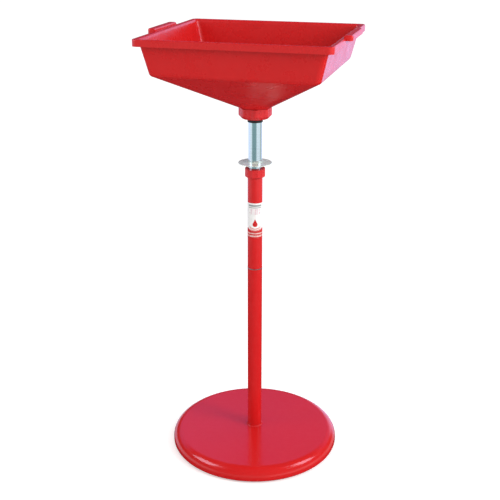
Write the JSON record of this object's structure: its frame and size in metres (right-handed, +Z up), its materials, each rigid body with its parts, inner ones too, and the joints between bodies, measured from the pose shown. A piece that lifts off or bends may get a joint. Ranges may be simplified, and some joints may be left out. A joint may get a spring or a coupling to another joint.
{
  "type": "oil drain pan on a telescopic stand",
  "caption": "Wide funnel-shaped pan on a height-adjustable column with a round weighted base tank, for catching oil drained from a raised vehicle.",
  "frame": {"origin": "on the floor plane under the column's axis, at the centre of the base's rubber feet", "axes": "+Z up the column, +X along the pan's longer side towards one hand grip, +Y along its shorter side"},
  "size_m": [0.648, 0.59, 1.475],
  "materials": {
    "red_paint": "glossy signal-red enamel over pressed and tubular steel",
    "plate_paint": "semi-matt black primer on the tank's floor",
    "plain_steel": "machined and welded steel, oiled",
    "zinc_plate": "zinc plate, pale grey-green, satin",
    "bright_zinc": "bright plated tube, nearly mirror-like along its length",
    "brass": "turned brass, satin",
    "black_rubber": "black oil-proof rubber",
    "white_nylon": "natural nylon",
    "red_plastic": "glossy moulded polyethylene, red through and through",
    "red_nut_plastic": "glossy moulded nylon, red",
    "label_film": "printed wrap-round film"
  },
  "bodies": {
    "stand": {"base_shell": "red_paint", "base_plate": "plate_paint", "drain_boss": "plain_steel", "drain_seal": "black_rubber", "drain_plug": "brass", "rubber_feet": "black_rubber", "column_socket": "plain_steel", "socket_o_ring": "black_rubber", "column_lower": "red_paint", "foot_nipple": "plain_steel", "joint_ring": "plain_steel", "column_spigot": "plain_steel", "spigot_o_ring": "black_rubber", "column_upper": "red_paint", "label_sleeve": "label_film", "column_head": "red_paint", "tube_liner": "white_nylon"},
    "slider": {"guide_bush": "white_nylon"},
    "pan_tube": {"inner_tube": "bright_zinc", "drip_disc": "zinc_plate", "disc_clips": "zinc_plate", "tube_flange": "plain_steel", "neck_gasket": "black_rubber", "neck_sleeve": "black_rubber", "pan": "red_plastic"},
    "collet": {"clamp_collet": "white_nylon"},
    "lock_nut": {"lock_nut": "red_nut_plastic", "wiper_ring": "black_rubber"},
    "slip_washer": {"slip_washer": "white_nylon"},
    "union_nut": {"union_nut": "red_nut_plastic"},
    "strainer": {"strainer": "plain_steel"}
  },
  "joints": [
    {"name": "height_slide", "type": "slide", "parent": "stand", "child": "slider", "axis": [0, 0, 1], "range_m": [-0.017, 0.16]},
    {"name": "pan_swivel", "type": "hinge", "parent": "slider", "child": "pan_tube", "pos_m": [0, 0, 1], "axis": [0, 0, 1], "continuous": true},
    {"name": "collet_slide", "type": "slide", "parent": "stand", "child": "collet", "axis": [0, 0, 1], "range_m": [0, 0.001]},
    {"name": "lock_nut_turn", "type": "hinge", "parent": "collet", "child": "lock_nut", "pos_m": [0, 0, 1.01], "axis": [0, 0, 1], "range_deg": [0, 120]},
    {"name": "washer_slide", "type": "slide", "parent": "pan_tube", "child": "slip_washer", "axis": [0, 0, -1], "range_m": [0, 0.002]},
    {"name": "union_nut_turn", "type": "hinge", "parent": "slip_washer", "child": "union_nut", "pos_m": [0, 0, 1.21], "axis": [0, 0, -1], "range_deg": [0, 180]},
    {"name": "strainer_lift", "type": "slide", "parent": "pan_tube", "child": "strainer", "axis": [0, 0, 1], "range_m": [0, 0.12]}
  ],
  "couplings": [
    {"joint": "collet_slide", "follows": "lock_nut_turn", "m_per_rad": 0.000477},
    {"joint": "washer_slide", "follows": "union_nut_turn", "m_per_rad": 0.000636}
  ]
}
